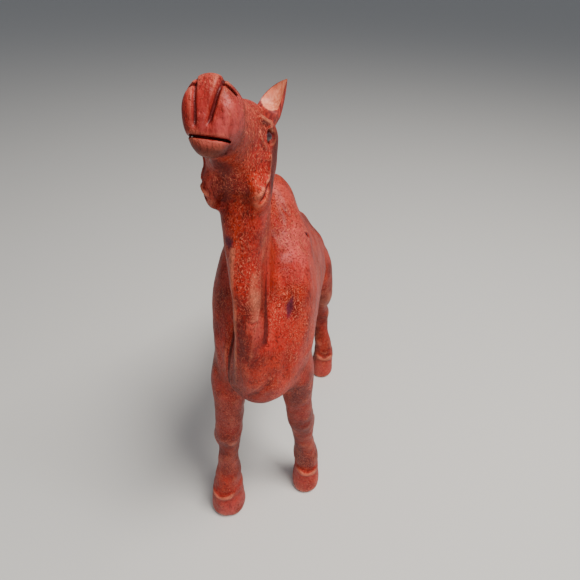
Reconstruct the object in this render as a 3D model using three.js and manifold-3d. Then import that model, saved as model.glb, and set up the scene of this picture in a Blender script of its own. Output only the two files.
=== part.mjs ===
// A standing one-humped camel, carved from blocks of red-stained wood that are dowelled and glued together.
//
// Millimetres. +X is the animal's left, +Y is towards its tail and +Z is up. While the pieces are worked out,
// y = 0 lies halfway between the two fore toes and z = 0 is the floor. The finished group is shifted so that
// its origin is the middle of its bounding box, at floor level.

import * as THREE from 'three';
import { mergeVertices } from 'three/addons/utils/BufferGeometryUtils.js';
import Module from 'manifold-3d';

const wasm = await Module();
wasm.setup();

// ---- Driving dimensions ----

const CHEST_HEIGHT = 110; // floor to the underside of the chest, where the forelegs are glued on
const HAUNCH_JOINT_HEIGHT = 103; // floor to the joint between haunch and hind leg

const TRUNK_LENGTH = 147; // breast to buttocks
const TRUNK_WIDTH = 46;
const TRUNK_DEPTH = 97; // underside of the chest to the top of the hump
const BREAST_OVERHANG = 17; // breast ahead of the middle of the fore toes
const TAIL_ROOT_RISE = 0.3; // underside of the chest to the root of the tail, as a share of the trunk's depth

const PAD_WIDTH = 11; // the pad under the breast
const PAD_LENGTH = 15;
const PAD_DROP = 2; // how far it hangs below the chest
const PAD_SETBACK = 2; // its middle behind the middle of the fore toes

const NECK_WIDTH = 14.4; // at the throat
const NECK_DEPTH = 26; // front to back at the throat
const NECK_RISE = 90; // underside of the chest to the joint under the head
const NECK_ADVANCE = 4; // the neck's middle line ahead of the middle of the fore toes
const NECK_SEAT_SLOPE = 60; // degrees between the floor and the face of the trunk that the neck is glued to
const NECK_SEAT_RISE = 0.55; // underside of the chest to the middle of that face, a share of the rise

const HEAD_LENGTH = 52; // nose to the back of the skull
const HEAD_WIDTH = 22.6; // across the cheeks
const HEAD_DEPTH = 33; // brow to jowl, square to the head's length
const HEAD_RAISE = 24; // degrees that the nose is raised
const HEAD_TURN = 1.8; // degrees that the nose is turned to the animal's left
const HEAD_ASIDE = -2.4; // how far the nose stands to the animal's left
const POLL_RISE = 25.8; // joint under the head to the back end of the head's middle line
const POLL_SETBACK = 12.5; // the same point behind the middle of the fore toes
const MOUTH_GAP = 1.1;
const MOUTH_DEPTH = 8;

const EAR_LENGTH = 13;
const EAR_WIDTH = 7.4;
const EAR_SPACING = 0.74; // between the two ears' feet, as a share of the head's width
const EAR_SPREAD = 24; // degrees that each ear leans outwards
const EYE_RADIUS = 2;
const EYE_SPACING = 0.8; // between the two eyes' middles, as a share of the head's width

const FORE_STANCE = 45.2; // between the middles of the fore feet
const FORE_STRIDE = 23.4; // right fore toe ahead of the left one
const HIND_STANCE = 48;
const HIND_STRIDE = 10; // left hind toe ahead of the right one
const WHEELBASE = 0.79; // fore toes to hind toes, as a share of the trunk's length
const LEG_TOP_STANCE = 0.674; // between the forelegs at the chest, as a share of the trunk's width
const HAUNCH_STANCE = 0.543; // between the middles of the haunches, as a share of the trunk's width
const HAUNCH_ADVANCE = 17; // middle of the haunch ahead of the middle of the hind foot
const FORE_HOOF_WIDTH = { left: 17.4, right: 20.6 };
const HIND_HOOF_WIDTH = 18;
const HOOF_HEIGHT = 24;
const FORE_CANNON_WIDTH = 11.4;
const HIND_CANNON_WIDTH = 10.6;

const TAIL_LENGTH = 52;
const TAIL_WIDTH = 6.4;
const TAIL_SUNK = 2; // how far the root of the tail is let into the buttocks

const DOWEL_RADIUS = 2.5;
const NECK_DOWEL_RADIUS = 3;
const DOWEL_LENGTH = 24;
const PEG_RADIUS = 1.5; // pegs that hold the ears and the tail
const PEG_LENGTH = 7;
const GLUE_GAP = 0.3;

// ---- Mesh helpers ----

const DEGREE = Math.PI / 180;
const SIDES = { left: 1, right: -1 };

// Fills in a row of stations, each a plain object of numbers, with in-between stations on smooth curves.
// Every other value is a function of the value named at.
function fillIn(stations, steps) {
  const last = stations.length - 1;
  const slope = (key, index) => {
    const before = stations[Math.max(index - 1, 0)];
    const after = stations[Math.min(index + 1, last)];
    return (after[key] - before[key]) / (after.at - before.at);
  };
  const row = [];
  for (let index = 0; index < last; index += 1) {
    const from = stations[index];
    const to = stations[index + 1];
    const span = to.at - from.at;
    for (let step = 0; step < steps; step += 1) {
      const t = step / steps;
      const station = {};
      for (const key of Object.keys(from)) {
        const rise = to[key] - from[key];
        const startPull = slope(key, index) * span - rise;
        const endPull = rise - slope(key, index + 1) * span;
        station[key] = from[key] + t * rise + t * (1 - t) * (startPull * (1 - t) + endPull * t);
      }
      row.push(station);
    }
  }
  row.push({ ...stations[last] });
  return row;
}

// A closed ring of points: an ellipse whose corners are filled out as its power rises above 2. It reaches
// half to each side along the across direction, and above and below its centre along the up direction.
function ring({ centre, across, up, half, above, below, upperPower, lowerPower, count }) {
  const points = [];
  for (let index = 0; index < count; index += 1) {
    const angle = (2 * Math.PI * index) / count;
    const cosine = Math.cos(angle);
    const sine = Math.sin(angle);
    const exponent = 2 / (sine > 0 ? upperPower : lowerPower);
    const side = half * Math.sign(cosine) * Math.abs(cosine) ** exponent;
    const height = (sine > 0 ? above : below) * Math.sign(sine) * Math.abs(sine) ** exponent;
    points.push(centre.clone().addScaledVector(across, side).addScaledVector(up, height));
  }
  return points;
}

function signedVolume(positions, indices) {
  const corner = (index) => new THREE.Vector3().fromArray(positions, 3 * index);
  let volume = 0;
  for (let index = 0; index < indices.length; index += 3) {
    const [a, b, c] = indices.slice(index, index + 3).map(corner);
    volume += a.dot(b.cross(c)) / 6;
  }
  return volume;
}

// Skins a row of rings and closes both ends with flat fans.
function loft(rings) {
  const count = rings[0].length;
  const positions = rings.flat().flatMap((point) => point.toArray());
  const indices = [];
  for (let row = 0; row < rings.length - 1; row += 1) {
    for (let column = 0; column < count; column += 1) {
      const next = (column + 1) % count;
      const a = row * count + column;
      const b = row * count + next;
      indices.push(a, b, b + count, a, b + count, a + count);
    }
  }
  for (const row of [0, rings.length - 1]) {
    const middle = new THREE.Vector3();
    rings[row].forEach((point) => middle.addScaledVector(point, 1 / count));
    const hub = positions.length / 3;
    positions.push(...middle.toArray());
    for (let column = 0; column < count; column += 1) {
      const a = row * count + column;
      const b = row * count + ((column + 1) % count);
      indices.push(...(row === 0 ? [b, a, hub] : [a, b, hub]));
    }
  }
  if (signedVolume(positions, indices) < 0) indices.reverse();
  const geometry = new THREE.BufferGeometry();
  geometry.setAttribute('position', new THREE.Float32BufferAttribute(positions, 3));
  geometry.setIndex(indices);
  return solid(geometry);
}

// A closed geometry as a manifold solid.
function solid(geometry) {
  const bare = geometry.clone();
  bare.deleteAttribute('normal');
  bare.deleteAttribute('uv');
  const merged = mergeVertices(bare, 1e-5);
  const vertProperties = new Float32Array(merged.attributes.position.array);
  const triVerts = new Uint32Array(merged.index.array);
  return new wasm.Manifold(new wasm.Mesh({ numProp: 3, vertProperties, triVerts }));
}

function geometryOf(body) {
  const { vertProperties, triVerts } = body.getMesh();
  const geometry = new THREE.BufferGeometry();
  geometry.setAttribute('position', new THREE.Float32BufferAttribute(vertProperties, 3));
  geometry.setIndex([...triVerts]);
  geometry.computeVertexNormals();
  return geometry;
}

// A round bar with its middle at a point and its length along a direction.
function bar(middle, direction, radius, length, segments = 16) {
  const geometry = new THREE.CylinderGeometry(radius, radius, length, segments);
  const turn = new THREE.Quaternion().setFromUnitVectors(new THREE.Vector3(0, 1, 0), direction);
  geometry.applyQuaternion(turn);
  geometry.translate(middle.x, middle.y, middle.z);
  return solid(geometry);
}

// A block that holds everything on the far side of a plane, for cutting a piece off along it.
const BLOCK_SIZE = 800;
function beyond(point, normal) {
  const geometry = new THREE.BoxGeometry(BLOCK_SIZE, BLOCK_SIZE, BLOCK_SIZE);
  const turn = new THREE.Quaternion().setFromUnitVectors(new THREE.Vector3(0, 0, 1), normal);
  geometry.applyQuaternion(turn);
  const middle = point.clone().addScaledVector(normal, BLOCK_SIZE / 2);
  geometry.translate(middle.x, middle.y, middle.z);
  return solid(geometry);
}

const ACROSS = new THREE.Vector3(1, 0, 0);
const FORWARD = new THREE.Vector3(0, -1, 0);
const UP = new THREE.Vector3(0, 0, 1);
const DOWN = new THREE.Vector3(0, 0, -1);

// ---- Trunk: barrel, hump and rump ----

// Sections from breast to buttocks. at is a share of the length; low, mid and high are shares of the depth,
// mid being the height of the widest part; half is a share of half the width.
const TRUNK_SECTIONS = [
  { at: 0.0, low: 0.15, mid: 0.28, high: 0.38, half: 0.2, upperPower: 2, lowerPower: 2 },
  { at: 0.03, low: 0.07, mid: 0.29, high: 0.48, half: 0.54, upperPower: 2, lowerPower: 2.1 },
  { at: 0.08, low: 0.02, mid: 0.31, high: 0.63, half: 0.81, upperPower: 2.2, lowerPower: 2.2 },
  { at: 0.15, low: 0.005, mid: 0.34, high: 0.75, half: 0.97, upperPower: 2.9, lowerPower: 2.3 },
  { at: 0.23, low: 0.005, mid: 0.35, high: 0.86, half: 1.0, upperPower: 2.5, lowerPower: 2.3 },
  { at: 0.29, low: 0.01, mid: 0.36, high: 0.955, half: 1.0, upperPower: 1.9, lowerPower: 2.3 },
  { at: 0.34, low: 0.01, mid: 0.36, high: 1.0, half: 0.98, upperPower: 1.5, lowerPower: 2.3 },
  { at: 0.41, low: 0.02, mid: 0.36, high: 0.95, half: 0.98, upperPower: 1.5, lowerPower: 2.3 },
  { at: 0.51, low: 0.04, mid: 0.35, high: 0.78, half: 0.97, upperPower: 1.6, lowerPower: 2.2 },
  { at: 0.64, low: 0.08, mid: 0.28, high: 0.61, half: 0.9, upperPower: 1.5, lowerPower: 2.2 },
  { at: 0.78, low: 0.1, mid: 0.2, high: 0.5, half: 0.86, upperPower: 1.5, lowerPower: 2.1 },
  { at: 0.89, low: 0.06, mid: 0.15, high: 0.42, half: 0.82, upperPower: 1.6, lowerPower: 2 },
  { at: 0.96, low: 0.02, mid: 0.14, high: 0.33, half: 0.6, upperPower: 1.8, lowerPower: 2 },
  { at: 1.0, low: 0.07, mid: 0.14, high: 0.22, half: 0.22, upperPower: 2, lowerPower: 2 },
];
const TRUNK_RING_POINTS = 28;

function trunkBlank() {
  const rings = fillIn(TRUNK_SECTIONS, 2).map((section) => {
    const mid = CHEST_HEIGHT + section.mid * TRUNK_DEPTH;
    return ring({
      centre: new THREE.Vector3(0, section.at * TRUNK_LENGTH - BREAST_OVERHANG, mid),
      across: ACROSS,
      up: UP,
      half: (section.half * TRUNK_WIDTH) / 2,
      above: (section.high - section.mid) * TRUNK_DEPTH,
      below: (section.mid - section.low) * TRUNK_DEPTH,
      upperPower: section.upperPower,
      lowerPower: section.lowerPower,
      count: TRUNK_RING_POINTS,
    });
  });
  return loft(rings);
}

// The low pad under the breast that a resting camel leans on.
function chestPad() {
  const geometry = new THREE.SphereGeometry(1, 16, 10);
  geometry.scale(PAD_WIDTH / 2, PAD_LENGTH / 2, PAD_DROP * 2);
  geometry.translate(0, PAD_SETBACK, CHEST_HEIGHT + PAD_DROP);
  return solid(geometry);
}

// ---- Legs ----

// Sections down a foreleg. at is the share of the chest height still below; half, front and back are shares
// of half the leg's gauge, which is the width of the broader hoof. The cannon's width is set by itself.
const FORE_GAUGE = Math.max(...Object.values(FORE_HOOF_WIDTH));
const FORE_CANNON = FORE_CANNON_WIDTH / FORE_GAUGE;
const FORELEG_SECTIONS = [
  { at: 1.3, half: 0.12, front: 0.2, back: 0.2 },
  { at: 1.26, half: 0.4, front: 0.55, back: 0.6 },
  { at: 1.17, half: 0.7, front: 0.9, back: 0.95 },
  { at: 1.06, half: 0.84, front: 1.0, back: 1.02 },
  { at: 0.97, half: 0.8, front: 0.95, back: 0.96 },
  { at: 0.86, half: 0.7, front: 0.82, back: 0.8 },
  { at: 0.75, half: 0.67, front: 0.8, back: 0.66 },
  { at: 0.69, half: 0.7, front: 0.88, back: 0.62 },
  { at: 0.61, half: FORE_CANNON + 0.04, front: 0.64, back: 0.6 },
  { at: 0.48, half: FORE_CANNON, front: 0.58, back: 0.6 },
  { at: 0.38, half: FORE_CANNON + 0.08, front: 0.64, back: 0.76 },
  { at: 0.325, half: 0.72, front: 0.7, back: 0.88 },
  { at: 0.27, half: 0.74, front: 0.76, back: 0.78 },
];

// Sections down a hind leg. shift is how far back each lies from the middle of the haunch, as a share of the
// step from there to the foot.
const HIND_CANNON = HIND_CANNON_WIDTH / HIND_HOOF_WIDTH;
const HINDLEG_SECTIONS = [
  { at: 1.22, half: 0.2, front: 0.5, back: 0.5, shift: 0.1 },
  { at: 1.18, half: 0.55, front: 1.1, back: 1.0, shift: 0.08 },
  { at: 1.11, half: 0.9, front: 1.65, back: 1.4, shift: 0.05 },
  { at: 1.02, half: 1.08, front: 1.85, back: 1.6, shift: 0.05 },
  { at: 0.93, half: 0.98, front: 1.6, back: 1.4, shift: 0.2 },
  { at: 0.83, half: 0.84, front: 1.25, back: 1.12, shift: 0.48 },
  { at: 0.7, half: 0.7, front: 0.92, back: 0.88, shift: 0.86 },
  { at: 0.58, half: 0.73, front: 0.8, back: 1.0, shift: 1.12 },
  { at: 0.5, half: HIND_CANNON + 0.04, front: 0.66, back: 0.74, shift: 1.12 },
  { at: 0.4, half: HIND_CANNON, front: 0.62, back: 0.64, shift: 1.05 },
  { at: 0.33, half: 0.74, front: 0.74, back: 0.86, shift: 1.0 },
  { at: 0.275, half: 0.76, front: 0.82, back: 0.82, shift: 1.0 },
];

// The hoof, shared by all four legs. at is a share of the hoof height.
const HOOF_SECTIONS = [
  { at: 1.12, half: 0.78, front: 0.84, back: 0.82 },
  { at: 1.04, half: 0.9, front: 0.97, back: 0.93 },
  { at: 0.96, half: 0.9, front: 0.98, back: 0.93 },
  { at: 0.88, half: 0.86, front: 0.93, back: 0.9 },
  { at: 0.45, half: 0.95, front: 1.08, back: 0.98 },
  { at: 0.07, half: 1.0, front: 1.16, back: 1.04 },
  { at: 0.0, half: 0.96, front: 1.11, back: 1.0 },
];
const LEG_RING_POINTS = 16;
const LEG_POWER = 2.3;
const TOE_OUT = 9; // degrees that each hoof points outwards
const TOE_REACH = 1.16; // toe ahead of the middle of the hoof, as a share of half its width
const FORE_TOP_SHARE = 0.35; // share of the stride that is left where the forelegs meet the chest
const FORE_TOP_SETBACK = 6; // forelegs at the chest behind the middle of the fore toes

// One leg as a single blank that runs from inside the trunk to the floor. top and foot are the middles of
// the leg at chest height and of its hoof.
function legBlank({ sections, side, top, foot, gauge, hoofWidth }) {
  const hoof = HOOF_SECTIONS.map((section) => (
    { ...section, height: section.at * HOOF_HEIGHT, gauge: hoofWidth }
  ));
  const shaft = fillIn(sections, 2).map((section) => (
    { ...section, height: section.at * CHEST_HEIGHT, gauge }
  ));
  const reach = CHEST_HEIGHT - HOOF_HEIGHT;
  const rings = [...shaft, ...hoof].map((section) => {
    const fall = Math.min((CHEST_HEIGHT - section.height) / reach, 1);
    const along = section.shift === undefined ? fall : section.shift;
    const turn = TOE_OUT * DEGREE * Math.max(fall, 0) * side;
    const step = hoof.includes(section) ? 1 : along;
    return ring({
      centre: new THREE.Vector3(
        side * THREE.MathUtils.lerp(top.x, foot.x, Math.max(fall, 0)),
        THREE.MathUtils.lerp(top.y, foot.y, step),
        section.height,
      ),
      across: ACROSS.clone().applyAxisAngle(UP, turn),
      up: FORWARD.clone().applyAxisAngle(UP, turn),
      half: (section.half * section.gauge) / 2,
      above: (section.front * section.gauge) / 2,
      below: (section.back * section.gauge) / 2,
      upperPower: LEG_POWER,
      lowerPower: LEG_POWER,
      count: LEG_RING_POINTS,
    });
  });
  return loft(rings);
}

function forelegPlan(name, side) {
  const hoofWidth = FORE_HOOF_WIDTH[name];
  const toe = (side * FORE_STRIDE) / 2;
  const foot = { x: FORE_STANCE / 2, y: toe + (TOE_REACH * hoofWidth) / 2 };
  const top = { x: (LEG_TOP_STANCE * TRUNK_WIDTH) / 2, y: toe * FORE_TOP_SHARE + FORE_TOP_SETBACK };
  return { sections: FORELEG_SECTIONS, side, top, foot, gauge: FORE_GAUGE, hoofWidth };
}

function hindlegPlan(side) {
  const hoofWidth = HIND_HOOF_WIDTH;
  const middle = WHEELBASE * TRUNK_LENGTH + (TOE_REACH * hoofWidth) / 2;
  const foot = { x: HIND_STANCE / 2, y: middle - (side * HIND_STRIDE) / 2 };
  const top = { x: (HAUNCH_STANCE * TRUNK_WIDTH) / 2, y: middle - HAUNCH_ADVANCE };
  return { sections: HINDLEG_SECTIONS, side, top, foot, gauge: hoofWidth, hoofWidth };
}

// Every leg is cut from its blank at a level joint, and the part above the joint stays on the trunk.
const LEGS = [];
for (const [name, side] of Object.entries(SIDES)) {
  LEGS.push({ name: `foreleg_${name}`, plan: forelegPlan(name, side), joint: CHEST_HEIGHT });
  LEGS.push({ name: `hindleg_${name}`, plan: hindlegPlan(side), joint: HAUNCH_JOINT_HEIGHT });
}

// The middle of a leg at its joint, where its dowel stands.
function jointMiddle({ plan, joint }) {
  const fall = (CHEST_HEIGHT - joint) / (CHEST_HEIGHT - HOOF_HEIGHT);
  const x = THREE.MathUtils.lerp(plan.top.x, plan.foot.x, fall);
  const y = THREE.MathUtils.lerp(plan.top.y, plan.foot.y, fall);
  return new THREE.Vector3(plan.side * x, y, joint);
}

// ---- Neck ----

// Sections up the neck. at is a share of the neck rise; front is how far the front stands ahead of the neck's
// middle line and back how far it reaches behind, as shares of the depth; half is a share of half the width.
const NECK_SECTIONS = [
  { at: 0.14, half: 1.02, front: 0.56, back: 0.7 },
  { at: 0.34, half: 1.03, front: 0.63, back: 0.78 },
  { at: 0.56, half: 0.96, front: 0.63, back: 0.78 },
  { at: 0.76, half: 0.93, front: 0.56, back: 0.68 },
  { at: 0.92, half: 0.98, front: 0.47, back: 0.56 },
  { at: 1.02, half: 1.06, front: 0.44, back: 0.54 },
  { at: 1.12, half: 1.12, front: 0.4, back: 0.5 },
  { at: 1.2, half: 1.0, front: 0.3, back: 0.42 },
];
const NECK_RING_POINTS = 20;
const NECK_POWER = 2.7;
const NECK_BEND_START = 0.45; // the shares of its rise between which the neck leans aside, to follow the head
const NECK_BEND_END = 1.1;

// The neck's middle line at a share of its rise.
function neckMiddle(share) {
  const aside = HEAD_ASIDE * THREE.MathUtils.smoothstep(share, NECK_BEND_START, NECK_BEND_END);
  return new THREE.Vector3(aside, -NECK_ADVANCE, CHEST_HEIGHT + share * NECK_RISE);
}

function neckBlank(grow = 0) {
  const rings = fillIn(NECK_SECTIONS, 2).map((section) => ring({
    centre: neckMiddle(section.at),
    across: ACROSS,
    up: FORWARD,
    half: (section.half * NECK_WIDTH) / 2 + grow,
    above: section.front * NECK_DEPTH + grow,
    below: section.back * NECK_DEPTH + grow,
    upperPower: NECK_POWER,
    lowerPower: NECK_POWER,
    count: NECK_RING_POINTS,
  }));
  return loft(rings);
}

// The sloping seat on the trunk, seen from the side: a point on it and the direction that it faces.
const SEAT_MIDDLE = new THREE.Vector3(0, 0, CHEST_HEIGHT + NECK_SEAT_RISE * NECK_RISE);
const SEAT_FACING = new THREE.Vector3(
  0,
  -Math.sin(NECK_SEAT_SLOPE * DEGREE),
  Math.cos(NECK_SEAT_SLOPE * DEGREE),
);
const HEAD_JOINT = neckMiddle(1);

// ---- Head ----

const NOSE = new THREE.Vector3(
  HEAD_ASIDE,
  POLL_SETBACK - HEAD_LENGTH * Math.cos(HEAD_RAISE * DEGREE),
  CHEST_HEIGHT + NECK_RISE + POLL_RISE + HEAD_LENGTH * Math.sin(HEAD_RAISE * DEGREE),
);
const headTurned = (direction) => direction
  .clone()
  .applyAxisAngle(ACROSS, -HEAD_RAISE * DEGREE)
  .applyAxisAngle(UP, HEAD_TURN * DEGREE);
const HEAD_ACROSS = headTurned(ACROSS);
const HEAD_BACKWARDS = headTurned(FORWARD).negate();
const HEAD_UP = headTurned(UP);

// A point given as the head's own measures: aside, back from the nose, and up from its middle line.
function headPoint(aside, back, up) {
  return NOSE.clone()
    .addScaledVector(HEAD_ACROSS, aside)
    .addScaledVector(HEAD_BACKWARDS, back)
    .addScaledVector(HEAD_UP, up);
}

// Sections from the nose to the back of the skull. at is a share of the length, half a share of half the
// width, and up and down are shares of the depth.
const HEAD_SECTIONS = [
  { at: 0.0, half: 0.4, up: 0.175, down: 0.185, upperPower: 2.2, lowerPower: 2.1 },
  { at: 0.025, half: 0.53, up: 0.247, down: 0.25, upperPower: 2.3, lowerPower: 2.1 },
  { at: 0.08, half: 0.61, up: 0.285, down: 0.28, upperPower: 2.4, lowerPower: 2.1 },
  { at: 0.17, half: 0.615, up: 0.285, down: 0.275, upperPower: 2.4, lowerPower: 2.1 },
  { at: 0.29, half: 0.59, up: 0.255, down: 0.29, upperPower: 2.2, lowerPower: 2.1 },
  { at: 0.43, half: 0.72, up: 0.26, down: 0.4, upperPower: 2, lowerPower: 2.1 },
  { at: 0.58, half: 0.91, up: 0.295, down: 0.54, upperPower: 1.9, lowerPower: 2.4 },
  { at: 0.71, half: 1.0, up: 0.32, down: 0.66, upperPower: 1.8, lowerPower: 2.8 },
  { at: 0.83, half: 0.98, up: 0.31, down: 0.68, upperPower: 1.8, lowerPower: 2.8 },
  { at: 0.93, half: 0.8, up: 0.26, down: 0.56, upperPower: 1.9, lowerPower: 2.4 },
  { at: 1.0, half: 0.42, up: 0.14, down: 0.34, upperPower: 2, lowerPower: 2 },
];
const HEAD_RING_POINTS = 24;
const LIPS_DOWN = 0.15; // below the head's middle line, as a share of its depth
const JOWL_WIDTH = 8;
const JOWL_LENGTH = 20;
const JOWL_DEPTH = 17;
const JOWL_INSET = 4.2; // its middle inside the width of the cheeks
const JOWL_BACK = 0.7; // behind the nose, as a share of the head's length
const JOWL_DOWN = 0.46; // below the head's middle line, as a share of its depth

function headBlank() {
  const rings = fillIn(HEAD_SECTIONS, 2).map((section) => ring({
    centre: headPoint(0, section.at * HEAD_LENGTH, 0),
    across: HEAD_ACROSS,
    up: HEAD_UP,
    half: (section.half * HEAD_WIDTH) / 2,
    above: section.up * HEAD_DEPTH,
    below: section.down * HEAD_DEPTH,
    upperPower: section.upperPower,
    lowerPower: section.lowerPower,
    count: HEAD_RING_POINTS,
  }));
  return loft(rings);
}

// The round lobe at the back of each jaw.
function jowl(side) {
  const geometry = new THREE.SphereGeometry(1, 18, 12);
  geometry.scale(JOWL_WIDTH / 2, JOWL_LENGTH / 2, JOWL_DEPTH / 2);
  geometry.applyMatrix4(new THREE.Matrix4().makeBasis(HEAD_ACROSS, HEAD_BACKWARDS, HEAD_UP));
  const aside = side * (HEAD_WIDTH / 2 - JOWL_INSET);
  const middle = headPoint(aside, JOWL_BACK * HEAD_LENGTH, -JOWL_DOWN * HEAD_DEPTH);
  geometry.translate(middle.x, middle.y, middle.z);
  return solid(geometry);
}

// The slot between the lips.
function mouthSlot() {
  const geometry = new THREE.BoxGeometry(HEAD_WIDTH, 2 * MOUTH_DEPTH, MOUTH_GAP);
  geometry.applyMatrix4(new THREE.Matrix4().makeBasis(HEAD_ACROSS, HEAD_BACKWARDS, HEAD_UP));
  const lips = headPoint(0, 0, -LIPS_DOWN * HEAD_DEPTH);
  geometry.translate(lips.x, lips.y, lips.z);
  return solid(geometry);
}

// ---- Ears, eyes and tail ----

const EAR_BACK = 0.73; // foot of the ear behind the nose, as a share of the head's length
const EAR_FOOT_UP = 0.17; // foot of the ear above the head's middle line, as a share of its depth
const PEG_TONGUE = 2; // how far a peg runs up inside the ear
const EYE_BACK = 0.6; // middle of the eye behind the nose, as a share of the head's length
const EYE_UP = -0.02; // middle of the eye above the head's middle line, as a share of its depth
const FINE_RING_POINTS = 12;
const EAR_SECTIONS = [
  { at: 0, half: 0.92, front: 0.44, back: 0.66 },
  { at: 0.25, half: 1, front: 0.42, back: 0.7 },
  { at: 0.55, half: 0.72, front: 0.3, back: 0.56 },
  { at: 0.82, half: 0.34, front: 0.16, back: 0.32 },
  { at: 1, half: 0.08, front: 0.05, back: 0.07 },
];

function earAxis(side) {
  return UP.clone().applyAxisAngle(FORWARD, side * -EAR_SPREAD * DEGREE).normalize();
}

function earFoot(side) {
  const aside = (side * EAR_SPACING * HEAD_WIDTH) / 2;
  return headPoint(aside, EAR_BACK * HEAD_LENGTH, EAR_FOOT_UP * HEAD_DEPTH);
}

function earPeg(side, grow = 0) {
  const axis = earAxis(side);
  const middle = earFoot(side).addScaledVector(axis, PEG_TONGUE - PEG_LENGTH / 2);
  return bar(middle, axis, PEG_RADIUS + grow, PEG_LENGTH + 2 * grow, FINE_RING_POINTS);
}

function earShell(side, grow = 0) {
  const axis = earAxis(side);
  const across = new THREE.Vector3().crossVectors(axis, FORWARD).normalize().multiplyScalar(side);
  const forward = new THREE.Vector3().crossVectors(across, axis).normalize();
  const rings = fillIn(EAR_SECTIONS, 2).map((section) => ring({
    centre: earFoot(side).addScaledVector(axis, section.at * EAR_LENGTH),
    across,
    up: forward.y < 0 ? forward : forward.clone().negate(),
    half: (section.half * EAR_WIDTH) / 2 + grow,
    above: (section.front * EAR_WIDTH) / 2 + grow,
    below: (section.back * EAR_WIDTH) / 2 + grow,
    upperPower: 2,
    lowerPower: 2,
    count: FINE_RING_POINTS,
  }));
  return loft(rings);
}

function eyeBall(side, grow = 0) {
  const geometry = new THREE.SphereGeometry(EYE_RADIUS + grow, 12, 8);
  const aside = (side * EYE_SPACING * HEAD_WIDTH) / 2;
  const middle = headPoint(aside, EYE_BACK * HEAD_LENGTH, EYE_UP * HEAD_DEPTH);
  geometry.translate(middle.x, middle.y, middle.z);
  return solid(geometry);
}

// Sections down the tail. at is a share of its length; half is a share of half its width, and out is how far
// each lies behind the root, as a share of the width.
const TAIL_SECTIONS = [
  { at: 0, half: 0.7, out: 0.2 },
  { at: 0.15, half: 0.85, out: 0.55 },
  { at: 0.45, half: 0.7, out: 0.6 },
  { at: 0.7, half: 0.95, out: 0.5 },
  { at: 0.88, half: 0.8, out: 0.45 },
  { at: 1, half: 0.2, out: 0.4 },
];
const TAIL_FLATTENING = 1.2; // the tail's width over its thickness
const TAIL_PEG_DROP = 0.1; // root of the tail to its peg, as a share of the tail's length
const TAIL_ROOT = new THREE.Vector3(
  0,
  TRUNK_LENGTH - BREAST_OVERHANG - TAIL_SUNK,
  CHEST_HEIGHT + TAIL_ROOT_RISE * TRUNK_DEPTH,
);

function tailBlank(grow = 0) {
  const rings = fillIn(TAIL_SECTIONS, 2).map((section) => ring({
    centre: TAIL_ROOT.clone()
      .addScaledVector(DOWN, section.at * TAIL_LENGTH)
      .addScaledVector(FORWARD, -section.out * TAIL_WIDTH),
    across: ACROSS,
    up: FORWARD,
    half: (section.half * TAIL_WIDTH) / 2 + grow,
    above: (section.half * TAIL_WIDTH) / 2 / TAIL_FLATTENING + grow,
    below: (section.half * TAIL_WIDTH) / 2 / TAIL_FLATTENING + grow,
    upperPower: 2,
    lowerPower: 2,
    count: FINE_RING_POINTS,
  }));
  return loft(rings);
}

function tailPeg(grow = 0) {
  const middle = TAIL_ROOT.clone().addScaledVector(DOWN, TAIL_PEG_DROP * TAIL_LENGTH);
  return bar(middle, FORWARD, PEG_RADIUS + grow, PEG_LENGTH + 2 * grow, FINE_RING_POINTS);
}

// ---- Cutting the blanks into pieces ----

const pieces = {};
const dowel = (middle, direction, radius) => bar(middle, direction, radius, DOWEL_LENGTH);
const dowelHole = (middle, direction, radius) => (
  bar(middle, direction, radius + GLUE_GAP, DOWEL_LENGTH + 2 * GLUE_GAP)
);

let trunk = trunkBlank().add(chestPad());
for (const leg of LEGS) {
  const middle = jointMiddle(leg);
  const blank = legBlank(leg.plan);
  const below = blank.subtract(beyond(new THREE.Vector3(0, 0, leg.joint - GLUE_GAP), UP));
  const above = blank.subtract(beyond(new THREE.Vector3(0, 0, leg.joint), DOWN));
  trunk = trunk.add(above);
  pieces[leg.name] = below.subtract(dowelHole(middle, UP, DOWEL_RADIUS));
  pieces[leg.name.replace('leg', 'leg_dowel')] = dowel(middle, UP, DOWEL_RADIUS);
}
for (const leg of LEGS) {
  trunk = trunk.subtract(dowelHole(jointMiddle(leg), UP, DOWEL_RADIUS));
}

// The neck is housed in the front of the trunk, down to its sloping seat.
const behindSeat = SEAT_FACING.clone().negate();
const behindHousing = SEAT_MIDDLE.clone().addScaledVector(SEAT_FACING, -GLUE_GAP);
const housing = neckBlank(GLUE_GAP).subtract(beyond(behindHousing, behindSeat));
const seatDowelHole = dowelHole(SEAT_MIDDLE, SEAT_FACING, NECK_DOWEL_RADIUS);
const headDowelHole = dowelHole(HEAD_JOINT, UP, DOWEL_RADIUS);
pieces.trunk = trunk
  .subtract(housing)
  .subtract(seatDowelHole)
  .subtract(tailBlank(GLUE_GAP))
  .subtract(tailPeg(GLUE_GAP));
pieces.neck = neckBlank()
  .subtract(beyond(SEAT_MIDDLE, behindSeat))
  .subtract(beyond(HEAD_JOINT.clone().addScaledVector(DOWN, GLUE_GAP), UP))
  .subtract(seatDowelHole)
  .subtract(headDowelHole);
pieces.neck_dowel = dowel(SEAT_MIDDLE, SEAT_FACING, NECK_DOWEL_RADIUS);
pieces.head_dowel = dowel(HEAD_JOINT, UP, DOWEL_RADIUS);

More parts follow.
